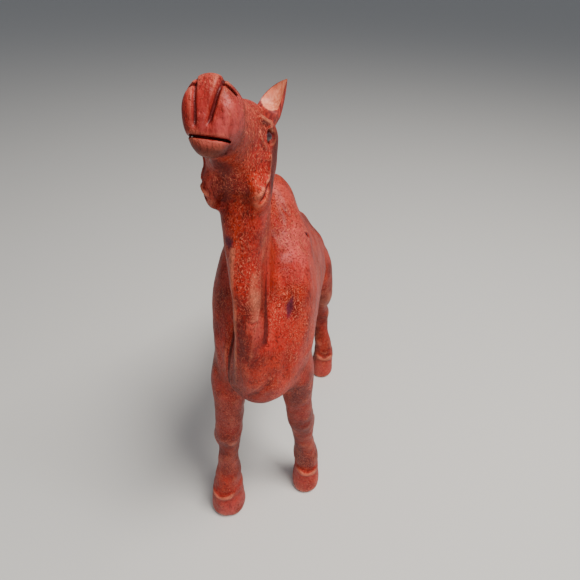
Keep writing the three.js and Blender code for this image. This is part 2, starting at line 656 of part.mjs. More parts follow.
let head = headBlank().add(jowl(SIDES.left)).add(jowl(SIDES.right)).add(neckBlank());
head = head.subtract(beyond(HEAD_JOINT, DOWN));
head = head.subtract(mouthSlot()).subtract(headDowelHole);
for (const [name, side] of Object.entries(SIDES)) {
  head = head.subtract(earShell(side, GLUE_GAP)).subtract(earPeg(side, GLUE_GAP));
  head = head.subtract(eyeBall(side, GLUE_GAP));
  pieces[`ear_${name}`] = earShell(side).add(earPeg(side));
  pieces[`eye_${name}`] = eyeBall(side);
}
pieces.head = head;
pieces.tail = tailBlank().add(tailPeg());

// ---- The assembled animal ----

const STAINED_WOOD = { color: 0xb04a3a, roughness: 0.5, metalness: 0 };
const FINISHES = {
  head: { color: 0xb85048, roughness: 0.48, metalness: 0 },
  neck: { color: 0xaa4030, roughness: 0.5, metalness: 0 },
  tail: { color: 0x9a3c2e, roughness: 0.55, metalness: 0 },
  ear_left: { color: 0xe6a080, roughness: 0.6, metalness: 0 },
  ear_right: { color: 0xe6a080, roughness: 0.6, metalness: 0 },
  eye_left: { color: 0x3a1420, roughness: 0.2, metalness: 0 },
  eye_right: { color: 0x3a1420, roughness: 0.2, metalness: 0 },
};
const BARE_WOOD = { color: 0xd8b07c, roughness: 0.7, metalness: 0 };

function finishOf(name) {
  if (name.includes('dowel')) return BARE_WOOD;
  return FINISHES[name] ?? STAINED_WOOD;
}

const animal = new THREE.Group();
for (const [name, body] of Object.entries(pieces)) {
  const mesh = new THREE.Mesh(geometryOf(body), new THREE.MeshStandardMaterial(finishOf(name)));
  mesh.name = name;
  animal.add(mesh);
}
const box = new THREE.Box3().setFromObject(animal);
const centre = box.getCenter(new THREE.Vector3());
animal.position.set(-centre.x, -centre.y, 0);

export default animal;
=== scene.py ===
import math

import bmesh
import bpy
import numpy as np
import openvdb
from mathutils import Matrix, Vector


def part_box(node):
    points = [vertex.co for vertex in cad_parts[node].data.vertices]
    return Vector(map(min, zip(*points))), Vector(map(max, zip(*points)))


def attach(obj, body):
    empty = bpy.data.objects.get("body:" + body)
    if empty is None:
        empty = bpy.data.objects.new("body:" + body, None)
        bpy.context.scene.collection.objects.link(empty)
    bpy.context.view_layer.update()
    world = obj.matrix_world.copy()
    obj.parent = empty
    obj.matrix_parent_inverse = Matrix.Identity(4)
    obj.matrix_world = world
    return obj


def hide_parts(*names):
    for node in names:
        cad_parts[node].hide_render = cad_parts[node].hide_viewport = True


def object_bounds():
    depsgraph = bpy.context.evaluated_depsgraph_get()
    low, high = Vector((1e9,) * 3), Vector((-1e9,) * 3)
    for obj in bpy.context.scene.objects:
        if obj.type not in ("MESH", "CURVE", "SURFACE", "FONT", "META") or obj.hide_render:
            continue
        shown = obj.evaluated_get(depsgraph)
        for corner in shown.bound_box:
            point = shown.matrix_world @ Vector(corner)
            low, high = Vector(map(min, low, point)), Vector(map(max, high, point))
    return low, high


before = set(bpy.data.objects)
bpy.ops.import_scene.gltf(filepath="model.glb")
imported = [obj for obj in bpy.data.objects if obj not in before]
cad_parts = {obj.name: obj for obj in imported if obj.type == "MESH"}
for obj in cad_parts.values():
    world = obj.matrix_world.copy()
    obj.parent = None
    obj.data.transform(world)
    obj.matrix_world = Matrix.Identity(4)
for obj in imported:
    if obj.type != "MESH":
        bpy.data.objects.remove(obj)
cad_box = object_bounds()

MM = 1000.0  # millimetres in a metre

# ---- Places in the frame, in millimetres ----


def box_mm(node):
    low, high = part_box(node)
    return np.array(low) * MM, np.array(high) * MM


TRUNK_LOW, TRUNK_HIGH = box_mm("trunk")
HEAD_LOW = box_mm("head")[0]
NECK_LOW, NECK_HIGH = box_mm("neck")
FORE_JOINT = box_mm("foreleg_left")[1][2]
HIND_JOINT = box_mm("hindleg_left")[1][2]
HEAD_JOINT = HEAD_LOW[2]


def footprint(node):
    """The lowest and highest corners of a foot's sole."""
    points = np.array([v.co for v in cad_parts[node].data.vertices]) * MM
    sole = points[points[:, 2] < 1]
    return sole.min(axis=0), sole.max(axis=0)


TOES_Y = (footprint("foreleg_left")[0][1] + footprint("foreleg_right")[0][1]) / 2

HEAD_RAISE = math.radians(24)
HEAD_TURN = math.radians(1.8)
HEAD_ASIDE = -2.4
NOSE_ADVANCE = 35.0
NOSE_RISE = 47.0
NOSE = np.array([HEAD_ASIDE, TOES_Y - NOSE_ADVANCE, HEAD_JOINT + NOSE_RISE])
HEAD_AXES = np.array(
    Matrix.Rotation(HEAD_TURN, 3, "Z") @ Matrix.Rotation(-HEAD_RAISE, 3, "X")
).T  # rows: aside, back and up


def head_point(aside, back, up):
    """A point in the head's own axes: to the animal's left, then back and up from the middle of the nose."""
    return NOSE + np.array([aside, back, up]) @ HEAD_AXES


def head_path(points):
    return [head_point(*point) for point in points]


def body_point(x, y, z):
    """A point of the body: y is measured from the line between the fore toes."""
    return np.array([x, TOES_Y + y, z])


def body_path(points):
    return [body_point(*point) for point in points]


# ---- Level sets ----

WANDER_BELOW = 8  # steps of a random field below the part's box
WANDER_BEYOND = 10  # steps of a random field beyond the part's box


class Wander:
    """A field of smooth random numbers about zero, the same for every piece."""

    def __init__(self, seed, step):
        self.low = np.array(cad_box[0]) * MM - WANDER_BELOW * step
        self.step = step
        counts = np.ceil((np.array(cad_box[1]) * MM - self.low) / step).astype(int) + WANDER_BEYOND
        self.values = np.random.default_rng(seed).standard_normal(counts)

    def on(self, axes):
        """The numbers on the grid lines of a field of voxels."""
        out = self.values
        for axis, line in enumerate(axes):
            where = (line - self.low[axis]) / self.step
            base = np.floor(where).astype(int)
            part = where - base
            part = part * part * (3 - 2 * part)
            shape = [1, 1, 1]
            shape[axis] = len(line)
            part = part.reshape(shape)
            out = out.take(base, axis=axis) * (1 - part) + out.take(base + 1, axis=axis) * part
        return out


BAND = 9.0  # how far from a surface its distances are kept
SHELL = 3  # voxels on each side of a surface that its polygons are made from


class Field:
    """Signed distances in millimetres on a box of voxels, negative inside the wood."""

    def __init__(self, low, high, voxel):
        self.low = np.floor(np.array(low, float) / voxel) * voxel
        self.voxel = voxel
        self.shape = tuple(int(n) + 1 for n in np.ceil((np.array(high) - self.low) / voxel))
        self.values = np.full(self.shape, BAND, np.float32)

    def measure(self, points, triangles, quads=None):
        """Fills the field with the distances to a closed mesh."""
        grid = openvdb.FloatGrid.createLevelSetFromPolygons(
            ((points - self.low) / self.voxel).astype(np.float32),
            triangles=triangles,
            quads=quads,
            transform=openvdb.createLinearTransform(voxelSize=1.0),
            halfWidth=BAND / self.voxel,
        )
        grid.copyToArray(self.values, ijk=(0, 0, 0))
        self.values *= self.voxel
        return self

    def lines(self):
        """The coordinates of the voxels along each axis."""
        return [self.low[i] + self.voxel * np.arange(self.shape[i]) for i in range(3)]

    def window(self, low, high):
        """The slices that cover a box, and the coordinates of their voxels."""
        first = np.clip(np.floor((np.array(low) - self.low) / self.voxel), 0, None).astype(int)
        last = np.minimum(np.ceil((np.array(high) - self.low) / self.voxel).astype(int) + 1, self.shape)
        if np.any(last <= first):
            return None, None
        cut = tuple(slice(a, b) for a, b in zip(first, last))
        axes = [line[part] for line, part in zip(self.lines(), cut)]
        return cut, np.meshgrid(*axes, indexing="ij")

    def polygons(self):
        """The closed surface as points in millimetres, triangles and quads that face out."""
        limit = SHELL * self.voxel
        solid = np.clip(self.values, -limit, limit)
        for axis in range(3):
            edge = [slice(None)] * 3
            for end in (0, -1):
                edge[axis] = end
                solid[tuple(edge)] = limit
        grid = openvdb.FloatGrid(limit)
        grid.copyFromArray(solid)
        points, triangles, quads = grid.convertToPolygons()
        points = points * self.voxel + self.low
        corners = points[quads]
        volume = np.einsum(
            "ij,ij->",
            corners[:, 0] - corners.mean(axis=(0, 1)),
            np.cross(corners[:, 2] - corners[:, 0], corners[:, 3] - corners[:, 1]),
        )
        if volume < 0:
            quads = quads[:, ::-1]
            triangles = triangles[:, ::-1]
        return points, triangles, quads

    def sample(self, values, points):
        """Values read at any points, by trilinear steps."""
        where = (points - self.low) / self.voxel
        base = np.clip(np.floor(where).astype(int), 0, np.array(self.shape) - 2)
        part = np.clip(where - base, 0, 1)
        total = np.zeros(len(points))
        for corner in np.ndindex(2, 2, 2):
            weight = np.prod(np.where(corner, part, 1 - part), axis=1)
            i, j, k = (base + corner).T
            total += weight * values[i, j, k]
        return total


def box_filter(values, reach, axis):
    """A running mean over 2 reach + 1 voxels along one axis."""
    last = values.shape[axis] - 1
    total = values.copy()
    for offset in range(1, reach + 1):
        for step in (-offset, offset):
            total += values.take(np.clip(np.arange(last + 1) + step, 0, last), axis=axis)
    return total / (2 * reach + 1)


def blurred(values, reach):
    """The values smoothed by three running means along each axis."""
    for axis in range(3):
        for _ in range(3):
            values = box_filter(values, reach, axis)
    return values


def smooth_step(value, start, end):
    t = np.clip((value - start) / (end - start), 0, 1)
    return t * t * (3 - 2 * t)


# ---- The wooden blank: the CAD pieces with their glue gaps filled ----

LEG_NODES = [f"{end}leg_{side}" for end in ("fore", "hind") for side in ("left", "right")]
WOOD_NODES = ["trunk", "neck", "head"] + LEG_NODES
DOWEL_NODES = sorted(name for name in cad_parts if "dowel" in name)
BLANK_VOXEL = 0.6
BLANK_MARGIN = 4
NODE_MARGIN = 3
GAP_FILL = 0.3  # the surface is moved out and back by this, which closes the glue gaps


def node_mesh(name):
    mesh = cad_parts[name].data
    mesh.calc_loop_triangles()
    points = np.empty(len(mesh.vertices) * 3, np.float32)
    mesh.vertices.foreach_get("co", points)
    corners = np.empty(len(mesh.loop_triangles) * 3, np.int32)
    mesh.loop_triangles.foreach_get("vertices", corners)
    return points.reshape(-1, 3) * MM, corners.reshape(-1, 3).astype(np.uint32)


def make_blank():
    """The wooden nodes and their dowels as one solid."""
    low = np.array(cad_box[0]) * MM - BLANK_MARGIN
    high = np.array(cad_box[1]) * MM + BLANK_MARGIN
    whole = Field(low, high, BLANK_VOXEL)
    for name in WOOD_NODES + DOWEL_NODES:
        node_low, node_high = box_mm(name)
        part = Field(node_low - NODE_MARGIN, node_high + NODE_MARGIN, BLANK_VOXEL)
        part.measure(*node_mesh(name))
        start = np.round((part.low - whole.low) / BLANK_VOXEL).astype(int)
        first = np.maximum(start, 0)
        last = np.minimum(start + part.shape, whole.shape)
        there = tuple(slice(a, b) for a, b in zip(first, last))
        here = tuple(slice(a - s, b - s) for a, b, s in zip(first, last, start))
        whole.values[there] = np.minimum(whole.values[there], part.values[here])
    whole.values -= GAP_FILL
    points, triangles, quads = whole.polygons()
    whole.measure(points, triangles, quads)
    whole.values += GAP_FILL
    return whole


HOOF_HEIGHT = 24.0
HOOF_SMOOTHING = 0.85  # as a share of the trunk's
HOOF_BLEND = 12.0  # how far above the hoof its smoothing ends
LEG_BLEND = 8.0  # how far past the leg joints, above and below, the trunk's smoothing fades
HEAD_BLEND = 14.0  # how far below the head's joint the smoothing starts to fade
NAPE_BLEND = 8.0  # how far behind the neck it does
FINE_BLUR = 1
BROAD_BLUR = 3


def smoothed_blank():
    """The blank with its facets smoothed away: most on the trunk and hooves, less on the legs and head."""
    blank = make_blank()
    fine = blurred(blank.values, FINE_BLUR)
    broad = blurred(fine, BROAD_BLUR)
    _, y, z = np.meshgrid(*blank.lines(), indexing="ij")
    on_trunk = smooth_step(z, HIND_JOINT - LEG_BLEND, FORE_JOINT + LEG_BLEND)
    hoof_light_share = smooth_step(-z, -HOOF_HEIGHT - HOOF_BLEND, -HOOF_HEIGHT)
    above = smooth_step(z, HEAD_JOINT - HEAD_BLEND, HEAD_JOINT)
    ahead = smooth_step(-y, -NECK_HIGH[1] - NAPE_BLEND, -NECK_HIGH[1])
    share = ((on_trunk + HOOF_SMOOTHING * hoof_light_share) * (1 - above * ahead)).astype(np.float32)
    blank.values = fine + share * (broad - fine)
    return blank


BLANK = smoothed_blank()


def cut_block(low, high, voxel):
    """A finer or coarser field of the blank, inside a box."""
    block = Field(low, high, voxel)
    where = np.stack(np.meshgrid(*block.lines(), indexing="ij"), axis=-1).reshape(-1, 3)
    block.values = BLANK.sample(BLANK.values, where).reshape(block.shape).astype(np.float32)
    return block


# ---- Carving ----

BACKWARDS = HEAD_AXES[1]


def unit(vector):
    vector = np.array(vector, float)
    return vector / np.linalg.norm(vector)


def rounded(points):
    """A path with its corners cut."""
    near = 0.75 * points[:-1] + 0.25 * points[1:]
    far = 0.25 * points[:-1] + 0.75 * points[1:]
    return np.concatenate([points[:1], np.stack([near, far], axis=1).reshape(-1, 3), points[-1:]])


def nearest(points, spots):
    """Squared distances from a path to spots, with how far along the path each is, from 0 to 1."""
    points = np.asarray(points, float)
    lengths = np.linalg.norm(np.diff(points, axis=0), axis=1)
    starts = np.concatenate([[0], np.cumsum(lengths)])
    best = np.full(spots.shape[:-1], np.inf)
    along = np.zeros(spots.shape[:-1])
    for index, (start, length) in enumerate(zip(points[:-1], lengths)):
        direction = (points[index + 1] - start) / length
        reach = np.clip((spots - start) @ direction, 0, length)
        gap = ((spots - start - reach[..., None] * direction) ** 2).sum(axis=-1)
        closer = gap < best
        best[closer] = gap[closer]
        along[closer] = ((starts[index] + reach) / starts[-1])[closer]
    return best, along


def stroke(block, points, into, half, depth, sharp=True, ends=(0.15, 0.15), reach=5.0):
    """Sinks the surface along a path by a depth, or raises it where the depth is negative. into points into
    the wood; half is half the stroke's width. A sharp stroke has a V section, a soft one a round section."""
    into = unit(into)
    points = rounded(np.asarray(points, float))
    margin = half + reach
    cut, axes = block.window(points.min(axis=0) - margin, points.max(axis=0) + margin)
    if cut is None:
        return
    spots = np.stack(axes, axis=-1)
    flat = points - np.outer(points @ into, into)
    gap, along = nearest(flat, spots - (spots @ into)[..., None] * into)
    share = np.clip(np.sqrt(gap) / half, 0, 1)
    profile = 1 - share if sharp else (1 - share**2) ** 2
    marks = np.concatenate([[0], np.cumsum(np.linalg.norm(np.diff(flat, axis=0), axis=1))])
    levels = np.interp(along, marks / marks[-1], points @ into)
    fade = 1 - smooth_step(np.abs(spots @ into - levels), 0.6 * reach, reach)
    fade = fade * smooth_step(along, -1e-3, ends[0]) * smooth_step(1 - along, -1e-3, ends[1])
    block.values[cut] += depth * profile * fade


def swell(block, centre, radii, height, axes=np.eye(3)):
    """Raises the surface in a soft mound, or sinks it where the height is negative."""
    centre = np.asarray(centre, float)
    radii = np.asarray(radii, float)
    reach = np.abs(axes.T) @ radii
    cut, grid = block.window(centre - reach, centre + reach)
    if cut is None:
        return
    spots = (np.stack(grid, axis=-1) - centre) @ axes.T / radii
    share = np.clip((spots**2).sum(axis=-1), 0, 1)
    block.values[cut] -= height * (1 - share) ** 2


def carve_muzzle(block):
    into = BACKWARDS
    left_groove = [(-3.6, 3.5, 8.4), (-3.3, 2.0, 7.5), (-2.9, -0.5, 1.5), (-2.7, -0.4, -4.2)]
    right_groove = [(2.7, 4.2, 9.0), (2.8, 1.6, 7.6), (2.3, 0, 4.5), (1.2, -0.5, 0.6), (0.1, -0.5, -3.4)]
    for path, half, depth in ((left_groove, 0.8, 0.8), (right_groove, 1.0, 1.0)):
        stroke(block, head_path(path), into, half, depth, sharp=False, ends=(0.12, 0.2))
    for side in (1, -1):
        path = [(3.0, 0.8, 6.6), (4.6, 1.8, 6.2), (5.8, 3.5, 5.0), (6.4, 4.6, 3.9)]
        path = [head_point(side * aside, back, up) for aside, back, up in path]
        stroke(block, path, into - 0.5 * side * HEAD_AXES[0], 0.6, 0.9, ends=(0.25, 0.3))
        swell(block, head_point(side * 4.6, 0.5, 2.0), (3.2, 3, 4.5), 0.35, HEAD_AXES)
    lips = [(-5.9, 3.0, -4.7), (-5.0, 1.2, -4.9), (-1.7, -0.4, -5.2), (1.8, -0.4, -5.4), (4.9, 1.6, -5.5)]
    lips = head_path(lips)
    stroke(block, lips, into, 0.42, 1.8, ends=(0.18, 0.08), reach=6)
    lower = [point - 1.5 * HEAD_AXES[2] for point in lips]
    stroke(block, lower, into, 1.6, -0.25, sharp=False, ends=(0.2, 0.25))
    swell(block, head_point(0.5, 1.5, 8.5), (7, 5, 4), 0.9, HEAD_AXES)
    swell(block, head_point(6.4, 5.5, 1.5), (3, 6, 7), 0.5, HEAD_AXES)
    swell(block, head_point(-0.4, 2.2, -8.2), (5.5, 4.5, 3), 1.1, HEAD_AXES)
    corner = head_point(5.0, 4.0, -6.0)
    stroke(block, [corner, head_point(4.2, 6.5, -8.6)], into - HEAD_AXES[0], 1.5, 0.5, sharp=False)


def carve_face(block):
    for side in (1, -1):
        outwards = side * HEAD_AXES[0]
        inwards = unit(BACKWARDS - 1.2 * outwards)

        def place(aside, back, up):
            return head_point(side * aside, back, up)

        brow = [place(6.6, 22.0, 4.2), place(8.3, 25.5, 3.2), place(9.9, 29.5, 2.6), place(10.6, 32.5, 1.6)]
        stroke(block, brow, inwards, 1.7, -1.1, sharp=False, ends=(0.35, 0.25))
        hollow = [place(7.6, 28.0, 6.4), place(9.4, 31.0, 5.4), place(10.8, 34.0, 4.4)]
        stroke(block, hollow, inwards, 1.9, 1.5, sharp=False, ends=(0.25, 0.25))
        swell(block, place(10.6, 31.6, -0.7), (2.6, 3.4, 2.6), -2.0, HEAD_AXES)
        lid = [place(9.3, 27.6, 0.9), place(10.4, 30.5, 1.5), place(10.8, 33.5, 0.2)]
        stroke(block, lid, inwards, 0.7, -0.6, ends=(0.2, 0.2))
        cheek = [place(8.1, 22.3, -1.4), place(8.9, 25.0, -3.4), place(9.8, 28.8, -5.2)]
        stroke(block, cheek, inwards, 0.9, -0.5, ends=(0.3, 0.3))
        under = [point - 1.2 * HEAD_AXES[2] + 1.0 * BACKWARDS for point in cheek]
        stroke(block, under, inwards, 1.2, 0.35, sharp=False, ends=(0.35, 0.35))
        edge = [
            place(10.2, 30.4, -5.0), place(10.4, 32.0, -8.5),
            place(10.3, 31.6, -12.2), place(9.6, 29.0, -15.0),
        ]
        stroke(block, edge, inwards, 1.3, -0.7)
        lobe = [
            place(9.5, 28.3, -14.6), place(9.2, 27.8, -16.8),
            place(8.2, 27.2, -18.4), place(6.4, 27.2, -19.2),
        ]
        stroke(block, lobe, inwards, 1.2, -1.0, ends=(0.35, 0.3))
        seam = [
            place(10.4, 31.6, -13.0), place(9.9, 30.6, -16.6),
            place(8.6, 30.0, -19.6), place(6.2, 29.8, -21.0),
        ]
        stroke(block, seam, inwards, 1.0, 1.1, ends=(0.3, 0.3))
        swell(block, place(7.4, 20.5, -6.5), (4.2, 7, 6), -0.6, HEAD_AXES)
    swell(block, head_point(0, 18.5, -12.5), (5.5, 6.5, 4.5), -1.3, HEAD_AXES)


def carve_neck(block):
    ahead = np.array([0, 1.0, -0.25])
    left_edge = [(7.2, -9.5, 206), (5.6, -7.0, 194), (5.6, -11.0, 176), (4.9, -17.0, 157), (1.0, -20.0, 143)]
    stroke(block, body_path(left_edge[:3]), ahead, 1.3, 1.0, ends=(0.1, 0.4))
    stroke(block, body_path(left_edge[1:]), ahead, 3.2, 1.1, sharp=False, ends=(0.25, 0.3))
    right_crease = [
        (-6.2, -15.0, 184), (-7.6, -14.5, 168), (-9.0, -13.0, 152), (-10.6, -10.5, 132), (-11.8, -8.0, 112),
    ]
    stroke(block, body_path(right_crease), (0.5, 1, 0), 1.8, 1.3, ends=(0.35, 0.3))
    keel = [(-4.0, -17.0, 184), (-5.2, -18.5, 164), (-6.2, -18.5, 146), (-7.4, -16.0, 124)]
    stroke(block, body_path(keel), (0.3, 1, 0), 2.6, -0.9, sharp=False, ends=(0.2, 0.3))
    ridge = [(-2.6, -15.4, 206), (-4.9, -15.8, 192), (-5.4, -16.5, 176)]
    stroke(block, body_path(ridge), (0.4, 1, 0), 2.2, -0.7, sharp=False, ends=(0.3, 0.4))
    swell(block, body_point(2.4, -17.2, 179), (3.8, 5, 12), 0.8)
    nick = [(0.4, -18.6, 171.2), (1.8, -19.0, 168.8), (3.6, -18.6, 170.8)]
    stroke(block, body_path(nick), ahead, 0.7, 0.5, ends=(0.3, 0.3))


def carve_trunk(block):
    shoulder = [(13.8, -9.0, 154), (13.0, -11.0, 141), (12.0, -12.0, 126)]
    stroke(block, body_path(shoulder), (-0.5, 1, 0), 3.6, 1.1, sharp=False, ends=(0.45, 0.45))
    shoulder = [(-14.5, -9.0, 152), (-14.0, -10.0, 138), (-13.0, -10.0, 124)]
    stroke(block, body_path(shoulder), (0.5, 1, 0), 3.6, 0.9, sharp=False, ends=(0.45, 0.45))
    breast = [(12.5, -12.0, 141), (6.0, -18.0, 134), (-1.0, -20.0, 127), (-6.5, -17.0, 119)]
    stroke(block, body_path(breast), (-0.2, 1, -0.3), 3.0, 0.7, sharp=False, ends=(0.35, 0.35))
    crease = [(2.9, 23.2, 200.5), (6.2, 21.2, 197), (10.0, 19.2, 192.5), (13.7, 17.4, 187.5)]
    stroke(block, body_path(crease), (-0.5, 0.8, -0.6), 1.0, 0.5, ends=(0.3, 0.4))
    gouge = [(14.6, 22.0, 186.2), (16.0, 22.9, 184.8), (17.0, 24.2, 183.0)]
    stroke(block, body_path(gouge), (-1, 0.3, -0.4), 0.9, 1.4)
    swell(block, body_point(13.8, -3.2, 167), (2.6, 4, 5.5), -0.5)


def carve_rump(block):
    for side in (1, -1):
        swell(block, body_point(side * 21, 66, 142), (9, 22, 26), 1.5)
        swell(block, body_point(side * 23, 106, 101), (13, 28, 32), 5.0)
        swell(block, body_point(side * 12, 113, 141), (11, 20, 14), -3.0)
        swell(block, body_point(side * 25, 103, 84), (12, 22, 24), 3.2)
        swell(block, body_point(side * 13, 54, 183), (12, 32, 22), -2.9)


HOOF_RISE = 4.0  # how much the ledge above the hoof rises towards its ends


def carve_foot(block, node, side):
    """A ledge round the front of the hoof, and a crease above it."""
    low, high = footprint(node)
    centre = (low + high) / 2
    half = (high[0] - low[0]) / 2
    ledge = []
    crease = []
    for angle in np.radians(np.arange(-75, 76, 15)):
        out = np.array([math.sin(angle) + 0.15 * side, -math.cos(angle), 0]) * half
        rise = HOOF_RISE * (1 - math.cos(angle))
        ledge.append(centre + 0.86 * out + (0, 0, 0.86 * HOOF_HEIGHT + rise))
        crease.append(centre + 0.80 * out + (0, 0, 1.02 * HOOF_HEIGHT + rise))
    stroke(block, ledge, (0, 1, -0.5), 2.6, -1.1, sharp=False, ends=(0.35, 0.35), reach=9)
    stroke(block, crease, (0, 1, -0.5), 2.2, 0.5, sharp=False, ends=(0.35, 0.35), reach=9)


def carve_leg(block, node, side):
    low, high = footprint(node)
    centre = (low + high) / 2
    carve_foot(block, node, side)
    if node.startswith("fore"):
        top = box_mm(node)[1][2]
        knee = centre + (side * 2.5, -1.0, 0.64 * top)
        swell(block, knee, (5, 7, 8), 1.0)
        swell(block, centre + (side * 4.0, 2.0, 0.66 * top), (5, 6, 6), 1.1)
        swell(block, centre + (side * 1.5, 1.0, 0.52 * top), (8, 8, 8), -0.5)
        tendon = [centre + (side * 4.6, 4.0, z) for z in (30, 42, 54)]
        stroke(block, tendon, (-side, -0.3, 0), 1.6, 0.6, sharp=False, ends=(0.4, 0.4))
    else:
        hock = centre + (side * 2.0, 3.0, 62)
        swell(block, hock, (5, 7, 7), 0.8)
        tendon = [centre + (side * 4.0, 3.0, z) for z in (32, 42, 52)]
        stroke(block, tendon, (-side, -0.2, 0), 1.6, 0.6, sharp=False, ends=(0.4, 0.4))


KNIFE_SEED = 11
KNIFE_STEP = 4.5  # the size of the dips that the knife leaves
KNIFE_DEPTH = 0.13
KNIFE = Wander(KNIFE_SEED, KNIFE_STEP)
PLANES_SEED = 5
PLANES_STEP = 2.4 * KNIFE_STEP  # the size of the broad facets under them
PLANES_DEPTH = 0.28
PLANES = Wander(PLANES_SEED, PLANES_STEP)


def carve_surface(block):
    """The slight unevenness of a surface cut by knife and rubbed smooth."""
    lines = block.lines()
    block.values += (KNIFE_DEPTH * KNIFE.on(lines) + PLANES_DEPTH * PLANES.on(lines)).astype(np.float32)


def carve(block):
    carve_rump(block)
    for end in ("fore", "hind"):
        for name, side in (("left", 1), ("right", -1)):
            carve_leg(block, f"{end}leg_{name}", side)
    carve_surface(block)
    carve_muzzle(block)
    carve_face(block)
    carve_neck(block)
    carve_trunk(block)
    return block


# ---- Pieces ----


def prism(name, outline):
    """A closed block whose corners are (y, z, half width) in millimetres, the same on both sides."""
    mesh = bmesh.new()
    sides = [
        [mesh.verts.new((side * half / MM, y / MM, z / MM)) for y, z, half in outline] for side in (-1, 1)
    ]
    count = len(outline)
    mesh.faces.new(sides[0])
    mesh.faces.new(sides[1][::-1])
    for i in range(count):
        j = (i + 1) % count
        mesh.faces.new((sides[0][j], sides[0][i], sides[1][i], sides[1][j]))
    bmesh.ops.recalc_face_normals(mesh, faces=mesh.faces)
    bmesh.ops.triangulate(mesh, faces=mesh.faces)
    return linked(name, mesh)


def linked(name, mesh):
    """An object in the scene, made from a bmesh."""
    data = bpy.data.meshes.new(name)
    mesh.to_mesh(data)
    mesh.free()
    obj = bpy.data.objects.new(name, data)
    bpy.context.scene.collection.objects.link(obj)
    return obj


def block_cutter(name, low, high):
    mesh = bmesh.new()
    bmesh.ops.create_cube(mesh, size=1)
    low = Vector(low) / MM
    high = Vector(high) / MM
    for vertex in mesh.verts:
        vertex.co = Vector(h if c > 0 else l for c, l, h in zip(vertex.co, low, high))
    bmesh.ops.triangulate(mesh, faces=mesh.faces)
    return linked(name, mesh)


def mesh_object(name, points, triangles, quads):
    """An object in the scene, made from points in millimetres and their faces."""
    data = bpy.data.meshes.new(name)
    faces = len(quads) + len(triangles)
    corners = np.concatenate([triangles.ravel(), quads.ravel()]).astype(np.int32)
    starts = np.concatenate([3 * np.arange(len(triangles)), 3 * len(triangles) + 4 * np.arange(len(quads))])
    data.vertices.add(len(points))
    data.vertices.foreach_set("co", (points / MM).astype(np.float32).ravel())
    data.loops.add(len(corners))
    data.loops.foreach_set("vertex_index", corners)
    data.polygons.add(faces)
    data.polygons.foreach_set("loop_start", starts.astype(np.int32))
    data.update(calc_edges=True)
    obj = bpy.data.objects.new(name, data)
    bpy.context.scene.collection.objects.link(obj)
    return obj


def trim(obj, cutters, operation):
    for other in cutters:
        modifier = obj.modifiers.new("trim", "BOOLEAN")
        modifier.solver = "MANIFOLD"
        modifier.operation = operation
        modifier.object = other
    depsgraph = bpy.context.evaluated_depsgraph_get()
    data = bpy.data.meshes.new_from_object(obj.evaluated_get(depsgraph))
    obj.modifiers.clear()
    obj.data = data


def mesh_points(data):
    points = np.empty(len(data.vertices) * 3, np.float32)
    data.vertices.foreach_get("co", points)
    return points.reshape(-1, 3) * MM


def store(data, name, values):
    """Keeps a number for each point of a mesh, for its material to read."""
    data.attributes.new(name, "FLOAT", "POINT").data.foreach_set("value", np.array(values, np.float32))


CREASE = math.radians(48)
RELIEF_REACH = 0.8  # how far the running means reach that ridges and hollows are told by


def dress(obj, node, material):
    """Smooth shading, a material and the piece's place in the frame."""
    obj.data.polygons.foreach_set("use_smooth", np.ones(len(obj.data.polygons), bool))
    obj.data.set_sharp_from_angle(angle=CREASE)
    obj.data.materials.clear()
    obj.data.materials.append(material)
    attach(obj, "root")
    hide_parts(node)


def finish_wood(obj, block, node, material):
    """Dresses a carved piece and marks its hollows and ridges, which the material follows with painted shade
    in the hollows and lighter ridges, partly wear and partly painted highlight.
    """
    soft = blurred(block.values, max(1, round(RELIEF_REACH / block.voxel)))
    points = mesh_points(obj.data)
    store(obj.data, "relief", block.sample(soft, points) - block.sample(block.values, points))
    dress(obj, node, material)


MARGIN = 3.0
FAR = 60.0
NECK_INSET = 1.2  # how far inside the neck's widest place the cuts beside it are
NECK_HALF = (NECK_HIGH[0] - NECK_LOW[0] - 2 * NECK_INSET) / 2
SEAT_SLOPE = math.radians(60)
SEAT_HEIGHT = FORE_JOINT + 0.55 * (HEAD_JOINT - FORE_JOINT)
FORELEG_INNER = 7.0  # how far from the middle plane the seats of the forelegs start
NECK_FOOT = FORE_JOINT - 12
NAPE = NECK_HIGH[1] + 3.5
NAPE_HALF = 1.3 * NECK_HALF
CROWN_HALF = 1.6 * NECK_HALF


